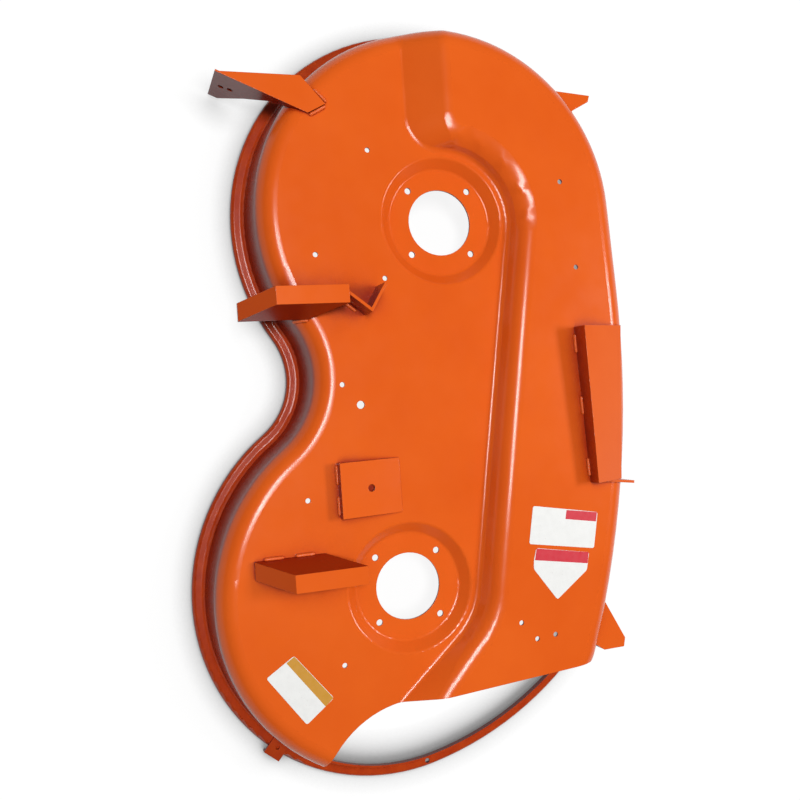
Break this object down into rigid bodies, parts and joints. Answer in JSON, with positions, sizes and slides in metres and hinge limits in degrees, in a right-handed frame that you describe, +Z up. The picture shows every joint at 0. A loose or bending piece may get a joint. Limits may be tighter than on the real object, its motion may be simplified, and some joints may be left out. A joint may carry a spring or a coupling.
{
  "type": "lawn mower deck",
  "caption": "Pressed-steel side-discharge mower deck: lobed shell with stepped top, recessed spindle lands, turned rim, side opening and welded hanger and wheel brackets.",
  "frame": {"origin": "middle of the deck's outline seen from above, on the plane that the rim rests on", "axes": "+X to the discharge side, +Y to the front of the mower, +Z up"},
  "size_m": [1.0919, 0.6703, 0.15],
  "materials": {
    "paint": "gloss orange powder coat"
  },
  "bodies": {
    "root": {"deck_shell": "paint", "rear_left_wheel_bracket": "paint", "rear_left_hanger": "paint", "rear_right_hanger": "paint", "idler_pad": "paint", "front_hanger": "paint", "front_left_wheel_bracket": "paint", "front_right_wheel_bracket": "paint", "rim_tab": "paint"}
  },
  "joints": []
}
